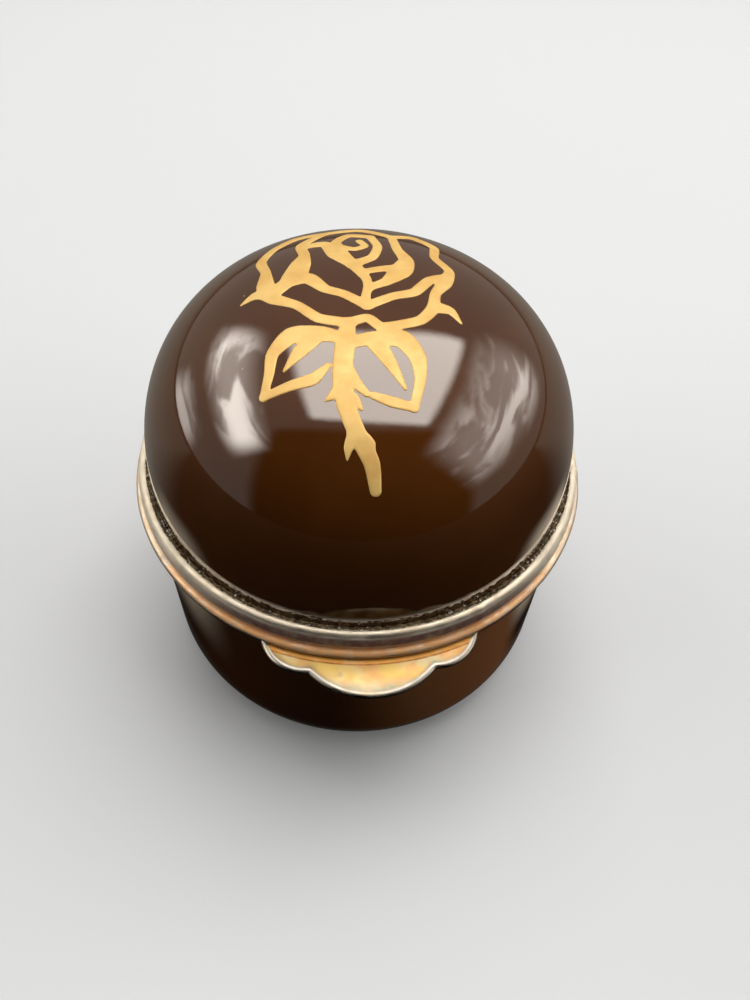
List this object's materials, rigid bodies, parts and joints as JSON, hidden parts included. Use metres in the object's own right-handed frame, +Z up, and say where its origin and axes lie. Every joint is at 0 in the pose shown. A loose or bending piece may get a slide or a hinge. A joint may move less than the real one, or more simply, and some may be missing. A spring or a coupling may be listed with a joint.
{
  "type": "trinket box",
  "caption": "Round porcelain trinket box: a domed lid in a double-beaded gilt mount with a scalloped thumb tab, hinged at the back to a rounded cup.",
  "frame": {"origin": "centre of the foot, on the plane it rests on", "axes": "+Z up along the box's axis; -Y to the front, where the thumb tab is; +Y to the hinge; +X to the right seen from the front"},
  "size_m": [0.0512, 0.0586, 0.0517],
  "materials": {
    "chocolate_glaze": "gloss",
    "gilt_brass": "tarnished satin",
    "hinge_brass": "satin",
    "mount_cement": "matte"
  },
  "bodies": {
    "base": {"base_bowl": "chocolate_glaze", "base_cement": "mount_cement", "base_bezel": "gilt_brass", "guide_collar": "gilt_brass", "catch_spring": "hinge_brass", "base_hinge_bearer": "hinge_brass", "base_knuckles": "hinge_brass", "hinge_pin": "hinge_brass"},
    "lid": {"lid_dome": "chocolate_glaze", "lid_cement": "mount_cement", "lid_bezel": "gilt_brass", "tab_ring": "gilt_brass", "catch_nib": "hinge_brass", "lid_hinge_bearer": "hinge_brass", "lid_knuckles": "hinge_brass"}
  },
  "joints": [
    {"name": "lid_hinge", "type": "hinge", "parent": "base", "child": "lid", "pos_m": [0, 0.02775, 0.02693], "axis": [-1, 0, 0], "range_deg": [0, 100]}
  ]
}
